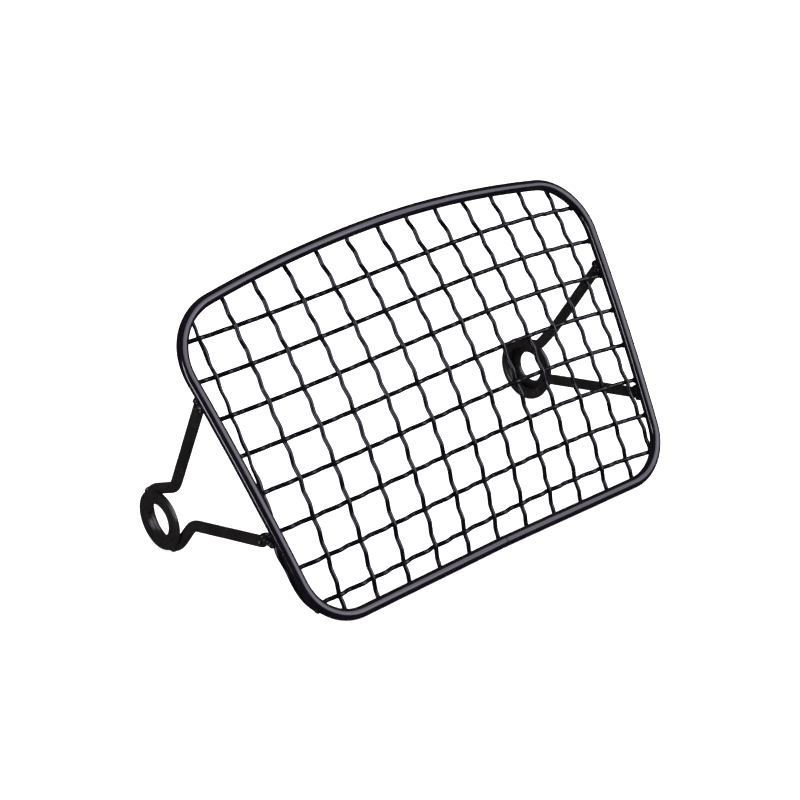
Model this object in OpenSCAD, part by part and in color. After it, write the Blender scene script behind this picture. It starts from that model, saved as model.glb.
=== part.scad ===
// Wire mesh stone guard for a rectangular headlamp.
// A bent rod rim carries a panel of woven crimped wire, and two bent rod arms end in eyelets
// with flat washers for the lamp's side bolts.
// The guard is drawn in its own plane (X across, Y up the face, Z out of the front), and is then
// leaned back until the lower rim and both eyelets stand on one level surface.
// The origin is midway between the eyelets, on their common axis.

/* [Rods and wire] */
// Diameter of the rim and arm rod
rod_d = 5; // [4:0.5:6]
// Diameter of the mesh wire
wire_d = 2; // [1.6:0.1:2.4]

/* [Rim outline] */
// Half distance between the centres of the top corners
top_corner_x = 89; // [84:1:94]
// Height of the top corner centres above the face's middle
top_corner_y = 45; // [40:1:50]
// Centreline radius of the top corners
top_corner_r = 26; // [20:1:30]
// Centreline radius of the arched top edge
top_edge_r = 580; // [450:10:900]
// Half distance between the centres of the bottom corners
bottom_corner_x = 81; // [76:1:86]
// Height of the bottom corner centres, negative below the middle
bottom_corner_y = -47.7; // [-52:0.1:-42]
// Centreline radius of the bottom corners
bottom_corner_r = 23; // [18:1:27]
// How far the bottom edge rises from its corners to the seam in the middle
bottom_rise = 1; // [0:0.1:2]

/* [Rim bow] */
// How far the top edge falls back at 100 mm from the middle
top_set_back = 6.2; // [0:0.1:12]
// How far the bottom edge falls back at 100 mm from the middle
bottom_set_back = -1.1; // [-4:0.1:8]
// Softness of the bend in the middle of the edges
bow_softness = 23; // [10:1:60]
// How far the top and bottom edges lie behind the middle line of the face
edge_drop = 1.2; // [0:0.1:4]

/* [Mesh] */
// Number of upright wires
upright_count = 13; // [13:1:13]
// Number of cross wires
cross_count = 8; // [8:1:8]
// Distance between upright wires
upright_pitch = 17; // [16.4:0.1:17.1]
// Distance between cross wires
cross_pitch = 16.6; // [15.5:0.1:17]
// Sideways shift of the weave from the symmetry plane
mesh_shift = -1.4; // [-3:0.1:0]
// How far the outermost upright wires lean to the right at the top, and to the left at the bottom
outer_lean = 1.4; // [0:0.1:3]
// Height of the crimps in the upright wires; the cross wires take the rest of the wire diameter
upright_crimp = 0.5; // [0.3:0.1:1]
// Droop of the cross wires towards their ends
cross_droop = 2.4; // [0:0.1:3]
// Difference in droop between the middle and the bottom wire
droop_gain = 0.9; // [0:0.1:1.5]
// Sway of the cross wires, down on the left of the middle and up on the right
cross_sway = 2.3; // [0:0.1:3]
// Height of the dome pressed into the mesh
mesh_dome = 10; // [4:0.5:14]
// How far the upright wires stop short of the rim's centreline at the top
top_inset = 0.2; // [0:0.1:1.5]
// How far the upright wires stop short of the rim's centreline at the bottom
bottom_inset = 1.2; // [1.2:0.1:2]
// How far the cross wires stop short of the rim's centreline on the left
left_inset = 0.7; // [-1:0.1:2]
// How far the cross wires stop short of the rim's centreline on the right
right_inset = 0.5; // [-1:0.1:2]

/* [Arms and eyelets] */
// Half distance between the eyelet loops' middle planes
loop_x = 107.7; // [106:0.1:109]
// Height of the eyelet axis, negative below the face's middle
eye_y = -8.1; // [-14:0.1:-2]
// Distance of the eyelet axis behind the rim
eye_back = 76.8; // [65:0.1:85]
// Centreline radius of the eyelet loop
loop_r = 13; // [12.5:0.1:14]
// Outer diameter of the washer
washer_d = 27.2; // [26:0.1:28]
// Thickness of the washer
washer_t = 2; // [1.5:0.1:2.5]
// Diameter of the bolt hole
hole_d = 14.5; // [13:0.1:15]
// Height of the left arm's upper weld on the rim
left_upper_y = 31.7; // [24:0.1:36]
// Height of the left arm's lower weld on the rim
left_lower_y = -29.5; // [-37:0.1:-28]
// Height of the right arm's upper weld on the rim
right_upper_y = 25.5; // [24:0.1:36]
// Height of the right arm's lower weld on the rim
right_lower_y = -34.5; // [-37:0.1:-28]
// Gap that the left arm's lower weld fills between the arm's end and the rim
left_lower_gap = 6.5; // [0:0.1:8]

/* [Hidden] */
UPRIGHTS = [for (i = [1:13]) str("upright_wire_", i < 10 ? "0" : "", i)];
CROSSES = [for (i = [1:8]) str("cross_wire_0", i)];

coat = "#1d1c22";
arm_coat = "#191718";
rod_r = rod_d / 2;
wire_r = wire_d / 2;
half_face = 75;
bow_half = 100;
bow_widening = 98;
dome_x = 108;
dome_y = 74;
mid_row = (cross_count - 1) / 2;
mid_column = 6 - mesh_shift / upright_pitch;
outer_columns = 6;
crimps = 3;
cross_crimp = wire_d - upright_crimp;
sway_return = 1.15;
tail_offset = 1.4;
tail_tip_offset = 0.9;
tail_turn = 33;
tail_from_y = -20;
seam_gap = 1.4;
seam_proud = 0.1;
weld_sink = 0.2;
left_neck_upper = [112, 11.3, 23.3];
left_neck_lower = [107, -6.6, 17.4];
right_knee = [110, 13.9, 28.2];
right_neck_upper = [107.7, 8.4, 15];
right_neck_lower = [107.7, -8.2, 13.2];
left_bend_r = 8;
right_bend_r = 3.5;
arm_reach = rod_d - 0.7;
bead_r = 1.6;
tack_r = 1.3;
drop_r = 2.7;
drop_pitch = 1.6;
drop_spread = 0.3;

// Small vector helpers.
function unit(v) = v / norm(v);
function arc_points(centre, r, from, to, n) =
    [for (i = [0:n - 1]) let (a = from + (to - from) * i / n) centre + r * [cos(a), sin(a)]];
function line_points(from, to, n) = [for (i = [0:n - 1]) from + (to - from) * i / n];

// The right half of the rim's centreline, from the top middle to the bottom middle.
top_corner = [top_corner_x, top_corner_y];
bottom_corner = [bottom_corner_x, bottom_corner_y];
top_centre_y = top_corner_y - sqrt(pow(top_edge_r - top_corner_r, 2) - pow(top_corner_x, 2));
top_end_a = atan2(top_corner_y - top_centre_y, top_corner_x);
corner_gap = top_corner - bottom_corner;
side_a = atan2(corner_gap.y, corner_gap.x)
    - acos((bottom_corner_r - top_corner_r) / norm(corner_gap));
side_normal = [cos(side_a), sin(side_a)];
side_top = top_corner + top_corner_r * side_normal;
side_bottom = bottom_corner + bottom_corner_r * side_normal;
bottom_y = bottom_corner_y - bottom_corner_r;
seam_y = bottom_y + bottom_rise;
function half_outline() = concat(
    arc_points([0, top_centre_y], top_edge_r, 90, top_end_a, 12),
    arc_points(top_corner, top_corner_r, top_end_a, side_a, 10),
    line_points(side_top, side_bottom, 9),
    arc_points(bottom_corner, bottom_corner_r, side_a, -90, 10),
    line_points([bottom_corner_x, bottom_y], [seam_gap / 2, seam_y], 9),
    [[seam_gap / 2, seam_y]]);

// Depth of the rim's centreline, and of the mesh, at a place on the face.
function sweep(x) = sqrt(x * x + bow_softness * bow_softness) - bow_softness;
function set_back(y) =
    bottom_set_back + (top_set_back - bottom_set_back) * (y + half_face) / (2 * half_face);
function face_z(x, y) = -set_back(y) * sweep(x) / sweep(bow_half)
    - edge_drop * pow(y / half_face, 2) * (1 + pow(x / bow_widening, 2));
function mesh_z(x, y) = face_z(x, y) - rod_r - wire_r + weld_sink
    + mesh_dome * max(0, 1 - pow(x / dome_x, 2)) * max(0, 1 - pow(y / dome_y, 2));

// Where the rim's centreline lies above, below or beside a place on the face.
function top_y(x) = abs(x) < top_edge_r * cos(top_end_a)
    ? top_centre_y + sqrt(top_edge_r * top_edge_r - x * x)
    : top_corner_y + sqrt(pow(top_corner_r, 2) - pow(abs(x) - top_corner_x, 2));
function low_y(x) = abs(x) < bottom_corner_x
    ? seam_y - bottom_rise * abs(x) / bottom_corner_x
    : bottom_corner_y - sqrt(pow(bottom_corner_r, 2) - pow(abs(x) - bottom_corner_x, 2));
function side_x(y) = y > side_top.y
    ? top_corner_x + sqrt(pow(top_corner_r, 2) - pow(y - top_corner_y, 2))
    : y < side_bottom.y
    ? bottom_corner_x + sqrt(pow(bottom_corner_r, 2) - pow(y - bottom_corner_y, 2))
    : side_bottom.x + (side_top.x - side_bottom.x) * (y - side_bottom.y) / (side_top.y - side_bottom.y);

// Places on the mesh by column and row, both counted from the top left corner.
function outness(column) = pow((column - mid_column) / outer_columns, 2);
function column_x(column, y) = upright_pitch * (column - mid_column)
    + outer_lean * outness(column) * y / half_face;
function top_end(column) = top_y(column_x(column, top_y(column_x(column, 0))));
function low_end(column) = low_y(column_x(column, low_y(column_x(column, 0))));
function sway(column) =
    let (u = (column - mid_column) / outer_columns) cross_sway * u * (1 - sway_return * u * u);
function mesh_y(column, row) = cross_pitch * (mid_row - row) + sway(column)
    - (cross_droop - droop_gain * (mid_row - row) / mid_row) * outness(column);
function row_at(column, y) = mid_row - (y - sway(column) + cross_droop * outness(column))
    / (cross_pitch + droop_gain * outness(column) / mid_row);
function end_column(row, side, column, tries = 4) = tries == 0
    ? column
    : let (y = mesh_y(column, row), x = side * (side_x(y) - (side < 0 ? left_inset : right_inset)))
        end_column(row, side, column + (x - column_x(column, y)) / upright_pitch, tries - 1);

// A crimp's height, fading out where a wire's ends lie on the rim.
function crimp(count, size, at, from, to) =
    size * cos(180 * count) * min(1, crimps * min(at - from, to - at));
function steps(from, to) = concat([from],
    [for (k = [floor(from * crimps) + 1:ceil(to * crimps) - 1]) k / crimps], [to]);
function mesh_point(column, row, lift) =
    let (y = mesh_y(column, row), x = column_x(column, y)) [x, y, mesh_z(x, y) + lift];
function straight_upright(column, low) =
    let (from = row_at(column, top_end(column) - top_inset), to = row_at(column, low))
    [for (row = steps(from, to))
        mesh_point(column, row, -crimp(column + crimps * row, upright_crimp, row, from, to))];
function rim_back(p) = [-p.x, p.y, face_z(p.x, p.y) - rod_r - wire_r + weld_sink];
function tail_path() = concat(
    [for (p = line_points((side_top + 5 * side_bottom) / 6, side_bottom, 2))
        rim_back(p + tail_offset * side_normal)],
    [for (i = [0:5]) let (t = i / 5, a = side_a - t * tail_turn)
        rim_back(bottom_corner + (bottom_corner_r + tail_offset
            + (tail_tip_offset - tail_offset) * t * t) * [cos(a), sin(a)])]);
function upright_path(column) = column == 0
    ? concat(straight_upright(0, tail_from_y), tail_path())
    : straight_upright(column, low_end(column) + bottom_inset);
function cross_path(row) =
    let (from = end_column(row, -1, 0), to = end_column(row, 1, upright_count - 1))
    [for (column = steps(from, to))
        mesh_point(column, row, crimp(row + crimps * column, cross_crimp, column, from, to))];

// A round rod of n sides swept along a path. No stretch of the path runs along side.
function ring(p, along, side, r, n) =
    let (u = unit(cross(along, side)), v = cross(u, along))
    [for (k = [0:n - 1]) p + r * (cos(360 * k / n) * u + sin(360 * k / n) * v)];
module swept_rod(path, side, r, n) {
    last = len(path) - 1;
    rings = [for (i = [0:last])
        ring(path[i], unit(path[min(i + 1, last)] - path[max(i - 1, 0)]), side, r, n)];
    points = [for (one = rings) for (p = one) p];
    walls = [for (i = [0:last - 1]) for (k = [0:n - 1])
        let (a = i * n + k, b = i * n + (k + 1) % n) each [[a, b, b + n], [a, b + n, a + n]]];
    caps = [[for (k = [0:n - 1]) n - 1 - k], [for (k = [0:n - 1]) last * n + k]];
    polyhedron(points, concat(walls, caps), convexity = 6);
}

// Leans the guard back so that its lower rim and the loops rest on one level surface.
rest_arm = [eye_y - bottom_y, -eye_back - face_z(bottom_corner_x, bottom_y)];
lean = atan2(rest_arm.y, rest_arm.x) + acos(loop_r / norm(rest_arm));
module seated() rotate([90 - lean, 0, 0]) translate([0, -eye_y, eye_back]) children();

// Rim: one closed rod with its ends butted at the bottom middle.
module rim() {
    right = [for (p = half_outline()) [p.x, p.y, face_z(p.x, p.y)]];
    last = len(right) - 1;
    left = [for (i = [last:-1:1]) [-right[i].x, right[i].y, right[i].z]];
    color(coat) seated() swept_rod(concat(left, right), [0, 0, 1], rod_r, 14);
}
module rim_butt_weld() {
    color(coat) seated() translate([-seam_gap / 2, seam_y, face_z(0, seam_y)])
        rotate([0, 90, 0]) cylinder(h = seam_gap, r = rod_r + seam_proud, $fn = 48);
}

// Mesh: crimped wires that pass over and under each other. The first upright wire bends outwards
// behind the rim and ends in a tail round the lower left corner.
module upright_wire(column) {
    color(coat) seated() swept_rod(upright_path(column), [1, 0, 0], wire_r, 6);
}
module cross_wire(row) {
    color(coat) seated() swept_rod(cross_path(row), [0, 1, 0], wire_r, 6);
}

// Weld beads that hold the wire ends on the back of the rim.
module bead(p) translate(p) sphere(r = bead_r, $fn = 24);
module upright_beads(top) {
    color(coat) seated() for (column = [0:upright_count - 1]) {
        path = upright_path(column);
        bead(path[top ? 0 : len(path) - 1]);
    }
}
module cross_beads(left) {
    color(coat) seated() for (row = [0:cross_count - 1]) {
        path = cross_path(row);
        bead(path[left ? 0 : len(path) - 1]);
    }
}

// Arms: one rod each, a leg down from the rim, a loop round the eyelet axis, and a leg back.
function fillet(before, corner, after, r, n) =
    let (u = unit(before - corner), v = unit(after - corner), half = acos(u * v) / 2,
        centre = corner + unit(u + v) * r / sin(half), turn = 180 - 2 * half,
        start = corner + u * r / tan(half) - centre, end = corner + v * r / tan(half) - centre)
    [for (i = [0:n]) let (t = i / n) centre + (sin((1 - t) * turn) * start + sin(t * turn) * end) / sin(turn)];
function tangent_a(p, way) = atan2(p.y, p.z) + way * acos(loop_r / norm([p.y, p.z]));
function arm_foot(y, gap = 0) =
    [side_x(y), y - eye_y, face_z(side_x(y), y) + eye_back - arm_reach - gap];
function upper_foot(side) = arm_foot(side < 0 ? left_upper_y : right_upper_y);
function lower_foot(side) =
    side < 0 ? arm_foot(left_lower_y, left_lower_gap) : arm_foot(right_lower_y);
loop_steps = 22;
function loop_points(from, to) = [for (i = [0:loop_steps])
    let (a = from + (to - from) * i / loop_steps) [loop_x, loop_r * sin(a), loop_r * cos(a)]];
function arm_path(upper_leg, neck_upper, neck_lower, foot_lower, bend_r) =
    let (loop = loop_points(tangent_a(neck_upper, 1), tangent_a(neck_lower, -1) + 360))
    concat(upper_leg, fillet(upper_leg[len(upper_leg) - 1], neck_upper, loop[0], bend_r, 5), loop,
        fillet(loop[loop_steps], neck_lower, foot_lower, bend_r, 5), [foot_lower]);
module arm(side, knees, neck_upper, neck_lower, bend_r) {
    path = arm_path(concat([upper_foot(side)], knees), neck_upper, neck_lower, lower_foot(side), bend_r);
    color(arm_coat) seated() swept_rod([for (p = path) [side * p.x, p.y + eye_y, p.z - eye_back]],
        [1, 0, 0], rod_r, 12);
}

// Washers on the outer faces of the loops, with the bolt hole through them.
module washer(side) {
    color(arm_coat) translate([side * (loop_x + rod_r) - (side < 0 ? washer_t : 0), 0, 0])
        rotate([0, 90, 0]) difference() {
            cylinder(h = washer_t, d = washer_d, $fn = 96);
            translate([0, 0, -1]) cylinder(h = washer_t + 2, d = hole_d, $fn = 96);
        }
}
module washer_tacks(side) {
    color(arm_coat) for (a = [150, 235, 315]) rotate([a, 0, 0])
        translate([side * (loop_x + rod_r - tack_r / 2), 0, loop_r + tack_r]) sphere(r = tack_r, $fn = 24);
}

// Weld beads that hold the arms on the back of the rim: a short row of overlapping drops.
module arm_weld(side, foot, gap = 0) {
    along = unit([0, side_top.y - side_bottom.y, face_z(side_top.x, side_top.y)]);
    color(arm_coat) seated() translate([side * foot.x, foot.y + eye_y, foot.z - eye_back])
        for (i = [-1:1])
            translate(along * i * drop_pitch + [0, 0, wire_r + gap / 2 - gap * drop_spread * i])
            sphere(r = drop_r - abs(i) * weld_sink, $fn = 32);
}

rim();
rim_butt_weld();
for (i = [0:upright_count - 1]) upright_wire(i);
for (i = [0:cross_count - 1]) cross_wire(i);
upright_beads(true);  // mesh_welds_top
upright_beads(false);  // mesh_welds_bottom
cross_beads(true);  // mesh_welds_left
cross_beads(false);  // mesh_welds_right
arm(-1, [], left_neck_upper, left_neck_lower, left_bend_r);  // arm_left
arm(1, [right_knee], right_neck_upper, right_neck_lower, right_bend_r);  // arm_right
washer(-1);  // washer_left
washer(1);  // washer_right
washer_tacks(-1);  // washer_tacks_left
washer_tacks(1);  // washer_tacks_right
arm_weld(-1, upper_foot(-1));  // arm_weld_upper_left
arm_weld(1, upper_foot(1));  // arm_weld_upper_right
arm_weld(-1, lower_foot(-1), left_lower_gap);  // arm_weld_lower_left
arm_weld(1, lower_foot(1));  // arm_weld_lower_right
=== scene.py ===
"""The finished look of a wire mesh headlamp guard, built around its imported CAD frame.

Each piece follows the centreline of the CAD node that it stands for, with round rods, soft crimps,
uneven weld beads and a powder coat. Sizes are in millimetres in the guard's own plane: X across,
Y up the face and Z out of the front. seated() turns them into metres in the row frame.
"""
import math

import bmesh
import bpy
from mathutils import Matrix, Vector, noise


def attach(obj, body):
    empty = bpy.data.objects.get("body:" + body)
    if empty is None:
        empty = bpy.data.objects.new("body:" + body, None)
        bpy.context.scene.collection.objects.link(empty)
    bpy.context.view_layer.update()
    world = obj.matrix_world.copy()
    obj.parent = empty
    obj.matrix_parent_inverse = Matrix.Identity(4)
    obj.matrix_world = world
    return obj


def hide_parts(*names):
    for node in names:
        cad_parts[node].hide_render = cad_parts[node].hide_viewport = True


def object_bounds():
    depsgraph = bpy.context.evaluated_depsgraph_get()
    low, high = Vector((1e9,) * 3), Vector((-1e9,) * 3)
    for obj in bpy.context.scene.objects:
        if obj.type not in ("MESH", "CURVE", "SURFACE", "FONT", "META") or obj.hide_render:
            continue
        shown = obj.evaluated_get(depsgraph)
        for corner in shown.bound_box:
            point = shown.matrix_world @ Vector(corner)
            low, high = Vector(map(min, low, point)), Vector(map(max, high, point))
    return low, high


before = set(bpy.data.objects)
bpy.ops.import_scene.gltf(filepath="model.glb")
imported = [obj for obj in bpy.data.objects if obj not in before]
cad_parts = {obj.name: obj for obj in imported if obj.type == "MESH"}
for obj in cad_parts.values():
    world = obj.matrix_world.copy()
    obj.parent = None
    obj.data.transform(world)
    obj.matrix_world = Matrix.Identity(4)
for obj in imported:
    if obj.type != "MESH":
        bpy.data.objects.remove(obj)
cad_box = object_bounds()

MM = 0.001

# Rods, wires and the rim's outline.
ROD_R = 2.5
WIRE_R = 1.0
TOP_CORNER = Vector((89.0, 45.0))
TOP_CORNER_R = 26.0
TOP_EDGE_R = 580.0
BOTTOM_CORNER = Vector((81.0, -47.7))
BOTTOM_CORNER_R = 23.0
BOTTOM_RISE = 1.0

# Depth of the face.
HALF_FACE = 75.0
TOP_SET_BACK = 6.2
BOTTOM_SET_BACK = -1.1
BOW_SOFTNESS = 23.0
BOW_HALF = 100.0
BOW_WIDENING = 98.0
EDGE_DROP = 1.2
MESH_DOME = 10.0
DOME_X = 108.0
DOME_Y = 74.0
WELD_SINK = 0.2

# Weave.
UPRIGHTS = 13
CROSSES = 8
UPRIGHT_PITCH = 17.0
CROSS_PITCH = 16.6
MESH_SHIFT = -1.4
OUTER_LEAN = 1.4
CROSS_DROOP = 2.4
DROOP_GAIN = 0.9
CROSS_SWAY = 2.3
SWAY_RETURN = 1.15
OUTER_COLUMNS = 6
MID_ROW = (CROSSES - 1) / 2
MID_COLUMN = (UPRIGHTS - 1) / 2 - MESH_SHIFT / UPRIGHT_PITCH
# Half waves of the crimp in one pitch, and points in one half wave.
CRIMPS = 3
CRIMP_STEPS = 10
CRIMP_SHARPNESS = 0.07
UPRIGHT_CRIMP = 0.5
CROSS_CRIMP = 2 * WIRE_R - UPRIGHT_CRIMP
TOP_INSET = 0.2
BOTTOM_INSET = 1.2
LEFT_INSET = 0.7
RIGHT_INSET = 0.5

# The tail of the first upright wire. It lies along the last of the side's parts, and then round
# the corner.
TAIL_FROM_Y = -20.0
SIDE_PARTS = 6
TAIL_TURN = math.radians(33)
TAIL_OFFSET = 1.4
TAIL_TIP_OFFSET = 0.9
TAIL_STEPS = 20
TAIL_LUMPS = 0.5

# Arms, eyelets and welds.
LOOP_X = 107.7
EYE_Y = -8.1
EYE_BACK = 76.8
LOOP_R = 13.0
WASHER_R = 13.6
WASHER_T = 2.0
HOLE_R = 7.25
KNEES = {"left": [], "right": [Vector((110.0, 13.9, 28.2))]}
NECKS = {"left": (Vector((112.0, 11.3, 23.3)), Vector((107.0, -6.6, 17.4))),
         "right": (Vector((107.7, 8.4, 15.0)), Vector((107.7, -8.2, 13.2)))}
BEND_R = {"left": 8.0, "right": 3.5}
ARM_REACH = 4.3
WELD_GAPS = {"lower_left": 6.5}
WELD_HEIGHTS = {"upper_left": 31.7, "lower_left": -29.5, "upper_right": 25.5, "lower_right": -34.5}
SEAM_WIDTH = 1.4
SEAM_PROUD = 0.08
SEAM_LUMPS = 0.1

# Weld beads, as half lengths. The mesh's lie inward, beside and out of the face; the tacks' lie
# across the guard, outward and round the loop.
BEAD_HALF = (1.6, 1.4, 1.3)
BEAD_RISE = 0.3
TACK_PLACES = (150, 235, 315)
TACK_HALF = (1.3, 1.1, 2.0)
TACK_SINK = 0.65
TACK_OUT = 1.1

# An arm's weld: a row of drops along the rim, largest in the middle. Where the arm stops short
# of the rim, each drop steps across DROP_SPREAD of the gap.
DROPS_EACH_WAY = 2
DROP_HALF = 2.7
DROP_TAPER = 0.12
DROP_FLATTENING = 0.1
DROP_LENGTH = 1.5
DROP_PITCH = 1.15
DROP_RISE = 0.9
DROP_SPREAD = 0.19

# Fineness of the rods and of their paths.
RIM_SIDES = 28
ARM_SIDES = 24
WIRE_SIDES = 12
WASHER_STEPS = 96
LOOP_STEPS = 60
WIRE_STEP = 0.55
ARM_STEP = 0.7
SMOOTHING = 8

# Unevenness of the rods and washers, and how close together its lumps are.
UNEVEN = 0.05
LUMP_SCALE = 0.12


def set_back(y):
    """How far the face falls back at 100 mm from the middle, at height y."""
    share = (y + HALF_FACE) / (2 * HALF_FACE)
    return BOTTOM_SET_BACK + (TOP_SET_BACK - BOTTOM_SET_BACK) * share


def sweep_back(x):
    """Shape of the bow across the face."""
    return math.hypot(x, BOW_SOFTNESS) - BOW_SOFTNESS


def face_z(x, y):
    """Depth of the rim's centreline."""
    drop = EDGE_DROP * (y / HALF_FACE) ** 2 * (1 + (x / BOW_WIDENING) ** 2)
    return -set_back(y) * sweep_back(x) / sweep_back(BOW_HALF) - drop


def mesh_z(x, y):
    """Depth of the woven panel's middle surface."""
    dome = MESH_DOME * max(0, 1 - (x / DOME_X) ** 2) * max(0, 1 - (y / DOME_Y) ** 2)
    return face_z(x, y) - ROD_R - WIRE_R + WELD_SINK + dome


# The rim's outline, as corner arcs with their tangents.
TOP_CENTRE_Y = TOP_CORNER.y - math.sqrt((TOP_EDGE_R - TOP_CORNER_R) ** 2 - TOP_CORNER.x ** 2)
TOP_END_A = math.atan2(TOP_CORNER.y - TOP_CENTRE_Y, TOP_CORNER.x)
CORNER_GAP = TOP_CORNER - BOTTOM_CORNER
SIDE_A = math.atan2(CORNER_GAP.y, CORNER_GAP.x) - math.acos(
    (BOTTOM_CORNER_R - TOP_CORNER_R) / CORNER_GAP.length)
SIDE_NORMAL = Vector((math.cos(SIDE_A), math.sin(SIDE_A)))
SIDE_TOP = TOP_CORNER + TOP_CORNER_R * SIDE_NORMAL
SIDE_BOTTOM = BOTTOM_CORNER + BOTTOM_CORNER_R * SIDE_NORMAL
BOTTOM_Y = BOTTOM_CORNER.y - BOTTOM_CORNER_R
SEAM_Y = BOTTOM_Y + BOTTOM_RISE

# The lean that stands the lower rim and both loops on one level surface.
REST_ARM = Vector((EYE_Y - BOTTOM_Y, -EYE_BACK - face_z(BOTTOM_CORNER.x, BOTTOM_Y)))
LEAN = math.atan2(REST_ARM.y, REST_ARM.x) + math.acos(LOOP_R / REST_ARM.length)
SEATED = Matrix.Rotation(math.pi / 2 - LEAN, 4, "X") @ Matrix.Translation((0, -EYE_Y, EYE_BACK))


def seated(point):
    """A place in the guard's own plane, as metres in the row frame."""
    return (SEATED @ Vector(point)) * MM


def arc(centre, radius, start, end, step=1.0):
    """Points along an arc, without its last one."""
    count = max(3, math.ceil(abs(end - start) * radius / step))
    turns = [start + (end - start) * i / count for i in range(count)]
    return [centre + radius * Vector((math.cos(a), math.sin(a))) for a in turns]


def line(start, end, step=1.0):
    """Points along a straight line, without its last one."""
    count = max(2, math.ceil((end - start).length / step))
    return [start.lerp(end, i / count) for i in range(count)]


def half_outline():
    """The right half of the rim's centreline, from the top middle to the bottom middle."""
    top_middle = Vector((0, TOP_CENTRE_Y))
    bottom_end = Vector((BOTTOM_CORNER.x, BOTTOM_Y))
    return (arc(top_middle, TOP_EDGE_R, math.pi / 2, TOP_END_A)
            + arc(TOP_CORNER, TOP_CORNER_R, TOP_END_A, SIDE_A)
            + line(SIDE_TOP, SIDE_BOTTOM)
            + arc(BOTTOM_CORNER, BOTTOM_CORNER_R, SIDE_A, -math.pi / 2)
            + line(bottom_end, Vector((0, SEAM_Y)))
            + [Vector((0, SEAM_Y))])


def top_y(x):
    """Height of the rim's centreline above the middle of the face."""
    if abs(x) < TOP_EDGE_R * math.cos(TOP_END_A):
        return TOP_CENTRE_Y + math.sqrt(TOP_EDGE_R ** 2 - x * x)
    return TOP_CORNER.y + math.sqrt(TOP_CORNER_R ** 2 - (abs(x) - TOP_CORNER.x) ** 2)


def low_y(x):
    """Height of the rim's centreline below the middle of the face."""
    if abs(x) < BOTTOM_CORNER.x:
        return SEAM_Y - BOTTOM_RISE * abs(x) / BOTTOM_CORNER.x
    return BOTTOM_CORNER.y - math.sqrt(BOTTOM_CORNER_R ** 2 - (abs(x) - BOTTOM_CORNER.x) ** 2)


def side_x(y):
    """Distance of the rim's centreline from the middle, at height y."""
    if y > SIDE_TOP.y:
        return TOP_CORNER.x + math.sqrt(TOP_CORNER_R ** 2 - (y - TOP_CORNER.y) ** 2)
    if y < SIDE_BOTTOM.y:
        return BOTTOM_CORNER.x + math.sqrt(BOTTOM_CORNER_R ** 2 - (y - BOTTOM_CORNER.y) ** 2)
    share = (y - SIDE_BOTTOM.y) / (SIDE_TOP.y - SIDE_BOTTOM.y)
    return SIDE_BOTTOM.x + (SIDE_TOP.x - SIDE_BOTTOM.x) * share


# Places on the mesh by column and row, both counted from the top left corner.
def outness(column):
    """How far out a column lies, squared: 0 in the middle and about 1 at the outer ones."""
    return ((column - MID_COLUMN) / OUTER_COLUMNS) ** 2


def column_x(column, y):
    """Where an upright wire is at height y."""
    return UPRIGHT_PITCH * (column - MID_COLUMN) + OUTER_LEAN * outness(column) * y / HALF_FACE


def sway(column):
    """How far the cross wires dip left of the middle and rise right of it, ending level."""
    u = (column - MID_COLUMN) / OUTER_COLUMNS
    return CROSS_SWAY * u * (1 - SWAY_RETURN * u * u)


def mesh_y(column, row):
    """Height of a cross wire where it meets a column."""
    lift = MID_ROW - row
    fall = CROSS_DROOP - DROOP_GAIN * lift / MID_ROW
    return CROSS_PITCH * lift + sway(column) - fall * outness(column)


def row_at(column, y):
    """The row count at height y on a column: mesh_y() turned round."""
    bend = outness(column)
    pitch = CROSS_PITCH + DROOP_GAIN * bend / MID_ROW
    return MID_ROW - (y - sway(column) + CROSS_DROOP * bend) / pitch


def end_column(row, side, column):
    """The column count at which a cross wire ends on the rim, from a first guess."""
    inset = LEFT_INSET if side < 0 else RIGHT_INSET
    for _ in range(4):
        y = mesh_y(column, row)
        column += (side * (side_x(y) - inset) - column_x(column, y)) / UPRIGHT_PITCH
    return column


def crimp(count, size, place, start, end):
    """Height of a crimped wire, count half waves along it. It fades out at the wire's ends."""
    turn = math.pi * count
    wave = math.cos(turn) + CRIMP_SHARPNESS * math.cos(3 * turn)
    return size * wave / (1 + CRIMP_SHARPNESS) * min(1, CRIMPS * min(place - start, end - place))


def steps(start, end):
    """Places along a wire in pitches, evenly spaced."""
    count = math.ceil((end - start) * CRIMPS * CRIMP_STEPS)
    return [start + (end - start) * i / count for i in range(count + 1)]


def mesh_point(column, row, lift):
    """A place on the woven panel, lifted off its middle surface."""
    y = mesh_y(column, row)
    x = column_x(column, y)
    return Vector((x, y, mesh_z(x, y) + lift))


def straight_upright(column, low):
    """An upright wire's crimped centreline, from the rim's top edge down to height low."""
    top = top_y(column_x(column, top_y(column_x(column, 0))))
    start = row_at(column, top - TOP_INSET)
    end = row_at(column, low)
    return [mesh_point(column, row, -crimp(column + CRIMPS * row, UPRIGHT_CRIMP, row, start, end))
            for row in steps(start, end)]


def rim_back(place):
    """Where a wire lies on the back of the rim's left half."""
    depth = face_z(place.x, place.y) - ROD_R - WIRE_R + WELD_SINK
    return Vector((-place.x, place.y, depth))


def tail_path():
    """The first upright wire's way round the lower left corner, on the back of the rim."""
    tail_top = (SIDE_TOP + (SIDE_PARTS - 1) * SIDE_BOTTOM) / SIDE_PARTS
    beside = [p + TAIL_OFFSET * SIDE_NORMAL for p in line(tail_top, SIDE_BOTTOM)]
    round_corner = []
    for i in range(TAIL_STEPS + 1):
        share = i / TAIL_STEPS
        a = SIDE_A - share * TAIL_TURN
        out = BOTTOM_CORNER_R + TAIL_OFFSET + (TAIL_TIP_OFFSET - TAIL_OFFSET) * share ** 2
        round_corner.append(BOTTOM_CORNER + out * Vector((math.cos(a), math.sin(a))))
    return [rim_back(p) for p in beside + round_corner]


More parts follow.
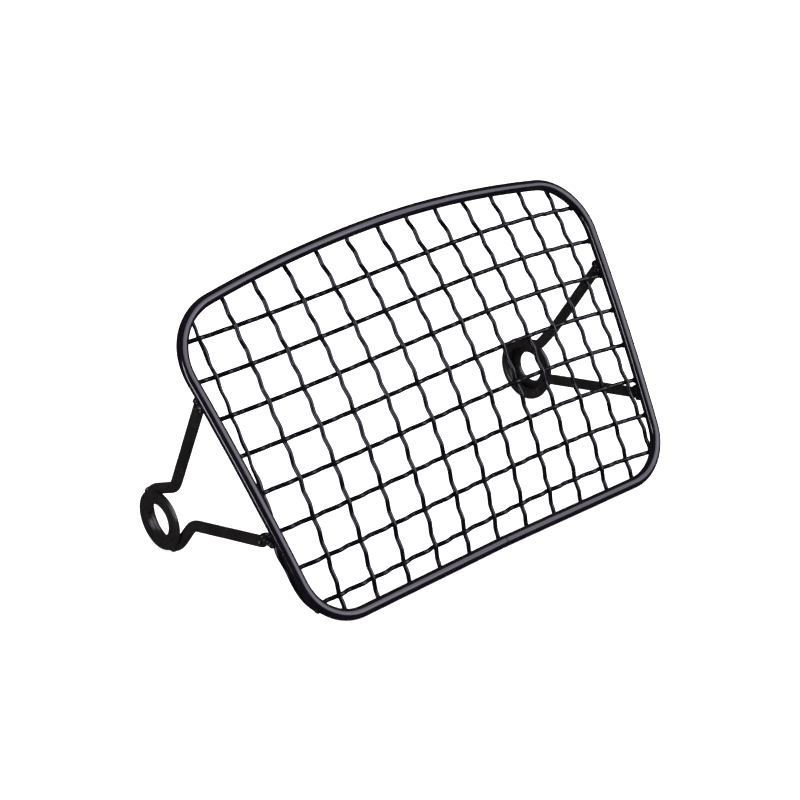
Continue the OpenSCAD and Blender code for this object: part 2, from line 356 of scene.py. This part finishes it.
def upright_path(column):
    """An upright wire's centreline. The first one ends in the tail."""
    if column == 0:
        whole = straight_upright(0, TAIL_FROM_Y) + tail_path()
        return relaxed(resampled(whole, WIRE_STEP), SMOOTHING)
    low = low_y(column_x(column, low_y(column_x(column, 0))))
    return straight_upright(column, low + BOTTOM_INSET)


def cross_path(row):
    """A cross wire's crimped centreline, from left to right."""
    start = end_column(row, -1, 0)
    end = end_column(row, 1, UPRIGHTS - 1)
    return [mesh_point(column, row, crimp(row + CRIMPS * column, CROSS_CRIMP, column, start, end))
            for column in steps(start, end)]


def fillet(before, corner, after, radius, count=12):
    """A round bend of that radius in place of a corner."""
    u = (before - corner).normalized()
    v = (after - corner).normalized()
    half = u.angle(v) / 2
    turn = math.pi - 2 * half
    centre = corner + (u + v).normalized() * radius / math.sin(half)
    start = corner + u * radius / math.tan(half) - centre
    end = corner + v * radius / math.tan(half) - centre
    shares = [i / count for i in range(count + 1)]
    return [centre + (math.sin((1 - t) * turn) * start + math.sin(t * turn) * end) / math.sin(turn)
            for t in shares]


def resampled(path, step):
    """The same path with evenly spaced points."""
    lengths = [0.0]
    for a, b in zip(path, path[1:]):
        lengths.append(lengths[-1] + (b - a).length)
    count = max(2, round(lengths[-1] / step))
    out, k = [], 0
    for i in range(count + 1):
        place = lengths[-1] * i / count
        while k < len(path) - 2 and lengths[k + 1] < place:
            k += 1
        share = (place - lengths[k]) / (lengths[k + 1] - lengths[k])
        out.append(path[k].lerp(path[k + 1], min(1.0, share)))
    return out


def relaxed(path, passes):
    """The path with its sudden changes of bend smoothed out. Its ends stay."""
    for _ in range(passes):
        inner = [(a + 2 * b + c) / 4 for a, b, c in zip(path, path[1:], path[2:])]
        path = [path[0], *inner, path[-1]]
    return path


def tangent_angle(neck, way):
    """Where a straight leg from the neck touches the loop."""
    return math.atan2(neck.y, neck.z) + way * math.acos(LOOP_R / math.hypot(neck.y, neck.z))


def arm_foot(place):
    """Where an arm ends behind the rim, measured from the eyelet axis."""
    y = WELD_HEIGHTS[place]
    x = side_x(y)
    reach = ARM_REACH + WELD_GAPS.get(place, 0.0)
    return Vector((x, y - EYE_Y, face_z(x, y) + EYE_BACK - reach))


def arm_path(label):
    """An arm's centreline on the right side, measured from the eyelet axis."""
    upper = [arm_foot(f"upper_{label}"), *KNEES[label]]
    lower = arm_foot(f"lower_{label}")
    neck_upper, neck_lower = NECKS[label]
    start = tangent_angle(neck_upper, 1)
    end = tangent_angle(neck_lower, -1) + 2 * math.pi
    turns = [start + (end - start) * i / LOOP_STEPS for i in range(LOOP_STEPS + 1)]
    loop = [Vector((LOOP_X, LOOP_R * math.sin(a), LOOP_R * math.cos(a))) for a in turns]
    path = (upper + fillet(upper[-1], neck_upper, loop[0], BEND_R[label]) + loop
            + fillet(loop[-1], neck_lower, lower, BEND_R[label]) + [lower])
    return relaxed(resampled(path, ARM_STEP), SMOOTHING)


# Mesh building. A rod's end narrows in these steps: distance from the tip and radius, in radii.
END_SOFTENING = ((0.0, 0.7), (0.06, 0.86), (0.18, 0.96), (0.4, 1.0))


def rod_rings(path, radius, closed):
    """Centre, direction and radius of each ring of a rod, with softened ends on an open one."""
    last = len(path) - 1
    rings = []
    for i, p in enumerate(path):
        before = path[i - 1] if closed or i else path[0]
        after = path[(i + 1) % len(path)] if closed or i < last else path[last]
        rings.append((p, (after - before).normalized(), radius))
    if closed:
        return rings
    start, end = rings[0], rings[-1]
    head = [(start[0] + start[1] * radius * cut, start[1], radius * size)
            for cut, size in END_SOFTENING]
    tail = [(end[0] - end[1] * radius * cut, end[1], radius * size)
            for cut, size in reversed(END_SOFTENING)]
    reach = radius * END_SOFTENING[-1][0]
    inner = [r for r in rings[1:-1]
             if (r[0] - start[0]).length > reach and (r[0] - end[0]).length > reach]
    return head + inner + tail


def add_rod(bm, path, side, radius, sides, closed=False, uneven=0.0):
    """Sweeps a round rod along a path. No stretch of the path may run along side."""
    rows = []
    for centre, along, size in rod_rings(path, radius, closed):
        u = along.cross(side).normalized()
        v = u.cross(along)
        row = []
        for k in range(sides):
            a = 2 * math.pi * k / sides
            out = math.cos(a) * u + math.sin(a) * v
            swell = uneven * noise.noise((centre + out * size) * LUMP_SCALE)
            row.append(bm.verts.new(seated(centre + out * (size + swell))))
        rows.append(row)
    pairs = list(zip(rows, rows[1:]))
    if closed:
        pairs.append((rows[-1], rows[0]))
    for low, high in pairs:
        for k in range(sides):
            n = (k + 1) % sides
            bm.faces.new((low[k], low[n], high[n], high[k]))
    if not closed:
        bm.faces.new(reversed(rows[0]))
        bm.faces.new(rows[-1])


def add_blob(bm, centre, axes, seed, lump=0.16):
    """A lump of weld metal. Each axis is a vector of that half length."""
    made = bmesh.ops.create_icosphere(bm, subdivisions=4, radius=1.0)
    for vert in made["verts"]:
        n = vert.co.copy()
        swell = 1 + lump * noise.noise(n * 1.3 + Vector((seed, seed * 0.7, -seed)))
        swell += 0.35 * lump * noise.noise(n * 3.7 - Vector((seed, 0, seed)))
        place = centre + (axes[0] * n.x + axes[1] * n.y + axes[2] * n.z) * swell
        vert.co = seated(place)


def make_piece(name, bm, node, material):
    """A finished piece that stands for one CAD node."""
    bmesh.ops.recalc_face_normals(bm, faces=bm.faces)
    mesh = bpy.data.meshes.new(name)
    bm.to_mesh(mesh)
    bm.free()
    for face in mesh.polygons:
        face.use_smooth = True
    mesh.materials.append(material)
    piece = bpy.data.objects.new(name, mesh)
    bpy.context.scene.collection.objects.link(piece)
    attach(piece, "root")
    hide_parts(node)


# Powder coat. Scales are per metre and depths are in metres.
CLOUD_SCALE = 90
RUB_SCALE = 320
GLOSS_SCALE = 240
SPECK_FINENESS = 3.1
PEEL_DEPTH = 0.00003
SPECK_DEPTH = 0.00001


def powder_coat(name, colour, roughness, specular, grain):
    """A black powder coat: fine orange peel, cloudy colour and gloss, and paler rubbed spots."""
    material = bpy.data.materials.new(name)
    material.use_nodes = True
    nodes = material.node_tree.nodes
    links = material.node_tree.links
    shader = nodes["Principled BSDF"]
    shader.inputs["Specular IOR Level"].default_value = specular
    place = nodes.new("ShaderNodeTexCoord")

    def noise_node(scale, detail):
        node = nodes.new("ShaderNodeTexNoise")
        node.inputs["Scale"].default_value = scale
        node.inputs["Detail"].default_value = detail
        links.new(place.outputs["Object"], node.inputs["Vector"])
        return node

    def ranged(source, low, high, out_low, out_high):
        node = nodes.new("ShaderNodeMapRange")
        node.inputs["From Min"].default_value = low
        node.inputs["From Max"].default_value = high
        node.inputs["To Min"].default_value = out_low
        node.inputs["To Max"].default_value = out_high
        links.new(source, node.inputs["Value"])
        return node.outputs["Result"]

    cloud = noise_node(CLOUD_SCALE, 3)
    ramp = nodes.new("ShaderNodeValToRGB")
    ramp.color_ramp.elements[0].position = 0.3
    ramp.color_ramp.elements[0].color = (*(c * 0.7 for c in colour), 1)
    ramp.color_ramp.elements[1].position = 0.7
    ramp.color_ramp.elements[1].color = (*(c * 1.35 for c in colour), 1)
    links.new(cloud.outputs["Fac"], ramp.inputs["Fac"])

    rub = noise_node(RUB_SCALE, 5)
    rubbed = ranged(rub.outputs["Fac"], 0.62, 0.72, 0.0, 0.5)
    mix = nodes.new("ShaderNodeMix")
    mix.data_type = "RGBA"
    mix.inputs["B"].default_value = (*(c * 2.6 + 0.004 for c in colour), 1)
    links.new(rubbed, mix.inputs["Factor"])
    links.new(ramp.outputs["Color"], mix.inputs["A"])
    links.new(mix.outputs["Result"], shader.inputs["Base Color"])

    gloss = noise_node(GLOSS_SCALE, 2)
    links.new(ranged(gloss.outputs["Fac"], 0.3, 0.7, roughness * 0.85, roughness * 1.15),
              shader.inputs["Roughness"])

    peel = noise_node(grain, 2)
    speck = noise_node(grain * SPECK_FINENESS, 1)
    coarse = nodes.new("ShaderNodeBump")
    coarse.inputs["Strength"].default_value = 0.5
    coarse.inputs["Distance"].default_value = PEEL_DEPTH
    links.new(peel.outputs["Fac"], coarse.inputs["Height"])
    fine = nodes.new("ShaderNodeBump")
    fine.inputs["Strength"].default_value = 0.35
    fine.inputs["Distance"].default_value = SPECK_DEPTH
    links.new(speck.outputs["Fac"], fine.inputs["Height"])
    links.new(coarse.outputs["Normal"], fine.inputs["Normal"])
    links.new(fine.outputs["Normal"], shader.inputs["Normal"])
    return material


RIM_COAT = powder_coat("rim_coat", (0.0024, 0.002, 0.0033), 0.13, 0.48, 900)
MESH_COAT = powder_coat("mesh_coat", (0.002, 0.0018, 0.0024), 0.08, 0.32, 1100)
ARM_COAT = powder_coat("arm_coat", (0.0058, 0.0049, 0.0047), 0.3, 0.5, 800)
WELD_COAT = powder_coat("weld_coat", (0.0035, 0.0032, 0.004), 0.24, 0.5, 700)

# Directions in the guard's own plane.
ACROSS = Vector((1, 0, 0))
UP_FACE = Vector((0, 1, 0))
FACE_NORMAL = Vector((0, 0, 1))


def make_rim():
    """The closed rod: its right half, then the same half mirrored."""
    right = [Vector((p.x, p.y, face_z(p.x, p.y))) for p in half_outline()]
    left = [Vector((-p.x, p.y, p.z)) for p in reversed(right[1:-1])]
    bm = bmesh.new()
    add_rod(bm, right + left, FACE_NORMAL, ROD_R, RIM_SIDES, closed=True, uneven=UNEVEN)
    make_piece("rim_rod", bm, "rim", RIM_COAT)


def make_seam():
    """The butt weld's ring, slightly proud and uneven."""
    path = [Vector((x * SEAM_WIDTH / 8, SEAM_Y, face_z(0, SEAM_Y))) for x in range(-4, 5)]
    bm = bmesh.new()
    add_rod(bm, path, FACE_NORMAL, ROD_R + SEAM_PROUD, RIM_SIDES, uneven=SEAM_LUMPS)
    make_piece("rim_seam", bm, "rim_butt_weld", WELD_COAT)


def make_mesh_wires():
    """The woven panel's wires. The first upright is lumpy from the welds along its tail."""
    for column in range(UPRIGHTS):
        bm = bmesh.new()
        lumps = TAIL_LUMPS if column == 0 else 0.0
        add_rod(bm, upright_path(column), ACROSS, WIRE_R, WIRE_SIDES, uneven=lumps)
        name = f"upright_{column + 1:02d}"
        make_piece(name, bm, f"upright_wire_{column + 1:02d}", MESH_COAT)
    for row in range(CROSSES):
        bm = bmesh.new()
        add_rod(bm, cross_path(row), UP_FACE, WIRE_R, WIRE_SIDES)
        name = f"crosswise_{row + 1:02d}"
        make_piece(name, bm, f"cross_wire_{row + 1:02d}", MESH_COAT)


def make_mesh_welds():
    """Small uneven beads where the wire ends are fused to the back of the rim."""
    groups = (("top", UPRIGHTS, upright_path, 0), ("bottom", UPRIGHTS, upright_path, -1),
              ("left", CROSSES, cross_path, 0), ("right", CROSSES, cross_path, -1))
    for side, count, path_of, end in groups:
        bm = bmesh.new()
        for i in range(count):
            path = path_of(i)
            tip = path[end]
            inward = (path[1] - path[0]) if end == 0 else (path[-2] - path[-1])
            inward = Vector((inward.x, inward.y, 0)).normalized()
            beside = FACE_NORMAL.cross(inward)
            ways = (inward, beside, FACE_NORMAL)
            axes = [way * half for way, half in zip(ways, BEAD_HALF)]
            add_blob(bm, tip + FACE_NORMAL * BEAD_RISE, axes, i * 1.7 + count + end)
        make_piece(f"wire_end_beads_{side}", bm, f"mesh_welds_{side}", WELD_COAT)


def mirrored(point, side):
    """A place measured from the eyelet axis on the right side, on either side of the guard."""
    return Vector((side * point.x, point.y + EYE_Y, point.z - EYE_BACK))


def make_arm(side, label):
    """One bent rod: upper leg, loop and lower leg."""
    bm = bmesh.new()
    path = [mirrored(p, side) for p in arm_path(label)]
    add_rod(bm, path, ACROSS, ROD_R, ARM_SIDES, uneven=UNEVEN)
    make_piece(f"arm_rod_{label}", bm, f"arm_{label}", ARM_COAT)


def washer_profile(edge=0.55, count=5):
    """The washer's cross-section as (radius, depth), with rounded edges."""
    corners = ((HOLE_R, 0, 180), (HOLE_R, WASHER_T, 90), (WASHER_R, WASHER_T, 0), (WASHER_R, 0, -90))
    out = []
    for radius, depth, start in corners:
        cx = radius + edge if radius == HOLE_R else radius - edge
        cz = depth + edge if depth == 0 else depth - edge
        for i in range(count + 1):
            a = math.radians(start + 90 - 90 * i / count)
            out.append((cx + edge * math.cos(a), cz + edge * math.sin(a)))
    return out


def make_washer(side, label):
    """A flat washer on the loop's outer face, turned from its cross-section."""
    profile = washer_profile()
    bm = bmesh.new()
    rows = []
    for i in range(WASHER_STEPS):
        a = 2 * math.pi * i / WASHER_STEPS
        row = []
        for radius, depth in profile:
            wobble = UNEVEN * noise.noise(Vector((math.cos(a), math.sin(a), depth)) * 1.5)
            x = LOOP_X + ROD_R + depth
            local = Vector((x, (radius + wobble) * math.cos(a), (radius + wobble) * math.sin(a)))
            row.append(bm.verts.new(seated(mirrored(local, side))))
        rows.append(row)
    for i in range(WASHER_STEPS):
        low, high = rows[i], rows[(i + 1) % WASHER_STEPS]
        for k in range(len(profile)):
            n = (k + 1) % len(profile)
            bm.faces.new((low[k], low[n], high[n], high[k]))
    make_piece(f"eyelet_washer_{label}", bm, f"washer_{label}", ARM_COAT)


def make_tacks(side, label):
    """Three tacks that hold the washer on the loop."""
    bm = bmesh.new()
    for i, degrees in enumerate(TACK_PLACES):
        a = math.radians(degrees) - (math.pi / 2 - LEAN)
        outward = Vector((0, -math.sin(a), math.cos(a)))
        centre = Vector((LOOP_X + ROD_R - TACK_SINK, 0, 0)) + outward * (LOOP_R + TACK_OUT)
        ways = (ACROSS, outward, ACROSS.cross(outward))
        axes = [way * half for way, half in zip(ways, TACK_HALF)]
        add_blob(bm, mirrored(centre, side), axes, i + 5.3)
    make_piece(f"washer_tack_beads_{label}", bm, f"washer_tacks_{label}", WELD_COAT)


def make_arm_weld(side, place):
    """A rippled bead of overlapping drops that bridges an arm's end and the rim."""
    foot = mirrored(arm_foot(place), side)
    gap = WELD_GAPS.get(place, 0.0)
    along = Vector((0, SIDE_TOP.y - SIDE_BOTTOM.y, face_z(SIDE_TOP.x, SIDE_TOP.y))).normalized()
    bm = bmesh.new()
    for i in range(-DROPS_EACH_WAY, DROPS_EACH_WAY + 1):
        size = DROP_HALF - DROP_TAPER * abs(i)
        rise = DROP_RISE + gap / 2 - gap * DROP_SPREAD * i
        centre = foot + along * i * DROP_PITCH + FACE_NORMAL * rise
        axes = (ACROSS * size, along * DROP_LENGTH, FACE_NORMAL * (size - DROP_FLATTENING))
        add_blob(bm, centre, axes, i + foot.y, lump=0.14)
    make_piece(f"arm_bead_{place}", bm, f"arm_weld_{place}", WELD_COAT)


# Studio, in metres, degrees and watts. The lens and its sensor are in millimetres.
CAMERA_AZIMUTH = 41.72
CAMERA_ELEVATION = 26.96
CAMERA_ROLL = -0.15
CAMERA_DISTANCE = 1.048
CAMERA_LENS = 103.5
CAMERA_SENSOR = 36
LOOK_AT = Vector((0.0201, -0.0071, 0.0153))
# Each softbox's name, direction in camera terms (right, up, back), width and height, and power.
SOFTBOXES = (
    ("right_softbox", (0.745, 0.403, 0.532), (1.35, 1.2), 17.5),
    ("right_core", (0.79, 0.26, 0.555), (0.4, 0.5), 1.3),
    ("left_strip", (-0.67, -0.2, 0.715), (0.14, 0.7), 5),
)
SOFTBOX_DISTANCE = 1.0
SOFTBOX_TINT = (0.89, 0.84, 1.0)
FLOOR_HALF = 20.0
FLOOR_LIGHT_SIZE = 4.0
FLOOR_LIGHT_POWER = 160
FLOOR_LIGHT_HEIGHT = 2.2


def camera_axes():
    """Right, up and back directions of the camera, in the row frame."""
    a = math.radians(CAMERA_AZIMUTH)
    e = math.radians(CAMERA_ELEVATION)
    back = Vector((-math.sin(a) * math.cos(e), -math.cos(a) * math.cos(e), math.sin(e)))
    level = Vector((math.cos(a), -math.sin(a), 0))
    up = back.cross(level)
    roll = math.radians(CAMERA_ROLL)
    right = math.cos(roll) * level + math.sin(roll) * up
    return right, back.cross(right), back


def add_camera():
    """A long lens that looks down on the guard's front, from the left arm's side."""
    right, up, back = camera_axes()
    data = bpy.data.cameras.new("camera")
    data.lens = CAMERA_LENS
    data.sensor_width = CAMERA_SENSOR
    camera = bpy.data.objects.new("camera", data)
    bpy.context.scene.collection.objects.link(camera)
    camera.matrix_world = Matrix.Translation(LOOK_AT + back * CAMERA_DISTANCE) @ Matrix(
        (right, up, back)).transposed().to_4x4()
    bpy.context.scene.camera = camera


def add_softbox(name, direction, size, power):
    """An area light that faces the guard."""
    right, up, back = camera_axes()
    way = (right * direction[0] + up * direction[1] + back * direction[2]).normalized()
    data = bpy.data.lights.new(name, "AREA")
    data.shape = "RECTANGLE"
    data.size, data.size_y = size
    data.energy = power
    data.color = SOFTBOX_TINT
    light = bpy.data.objects.new(name, data)
    light.location = LOOK_AT + way * SOFTBOX_DISTANCE
    light.rotation_mode = "QUATERNION"
    light.rotation_quaternion = way.to_track_quat("Z", "Y")
    bpy.context.scene.collection.objects.link(light)


def add_floor():
    """White paper that glows a little, so that it stays white. The coat does not mirror it."""
    mesh = bpy.data.meshes.new("floor")
    bm = bmesh.new()
    low = cad_box[0].z
    corners = ((-1, -1), (1, -1), (1, 1), (-1, 1))
    bm.faces.new([bm.verts.new((x * FLOOR_HALF, y * FLOOR_HALF, low)) for x, y in corners])
    bm.to_mesh(mesh)
    bm.free()
    material = bpy.data.materials.new("floor_paper")
    material.use_nodes = True
    shader = material.node_tree.nodes["Principled BSDF"]
    shader.inputs["Base Color"].default_value = (0.6, 0.6, 0.6, 1)
    shader.inputs["Roughness"].default_value = 0.9
    shader.inputs["Specular IOR Level"].default_value = 0.1
    shader.inputs["Emission Color"].default_value = (1, 1, 1, 1)
    shader.inputs["Emission Strength"].default_value = 0.9
    mesh.materials.append(material)
    floor = bpy.data.objects.new("floor", mesh)
    floor.visible_glossy = False
    bpy.context.scene.collection.objects.link(floor)


def add_studio():
    """A dim white world, the softboxes, and an overhead light that the coat does not mirror."""
    world = bpy.data.worlds.new("studio")
    world.use_nodes = True
    world.node_tree.nodes["Background"].inputs["Color"].default_value = (1, 1, 1, 1)
    world.node_tree.nodes["Background"].inputs["Strength"].default_value = 0.03
    bpy.context.scene.world = world
    bpy.context.scene.view_settings.view_transform = "Standard"
    for softbox in SOFTBOXES:
        add_softbox(*softbox)
    overhead = bpy.data.lights.new("floor_light", "AREA")
    overhead.size = FLOOR_LIGHT_SIZE
    overhead.energy = FLOOR_LIGHT_POWER
    lamp = bpy.data.objects.new("floor_light", overhead)
    lamp.location = (0, 0, FLOOR_LIGHT_HEIGHT)
    lamp.visible_glossy = False
    bpy.context.scene.collection.objects.link(lamp)


add_camera()
make_rim()
make_seam()
make_mesh_wires()
make_mesh_welds()
for arm_side, arm_label in ((-1, "left"), (1, "right")):
    make_arm(arm_side, arm_label)
    make_washer(arm_side, arm_label)
    make_tacks(arm_side, arm_label)
    make_arm_weld(arm_side, f"upper_{arm_label}")
    make_arm_weld(arm_side, f"lower_{arm_label}")
add_floor()
add_studio()
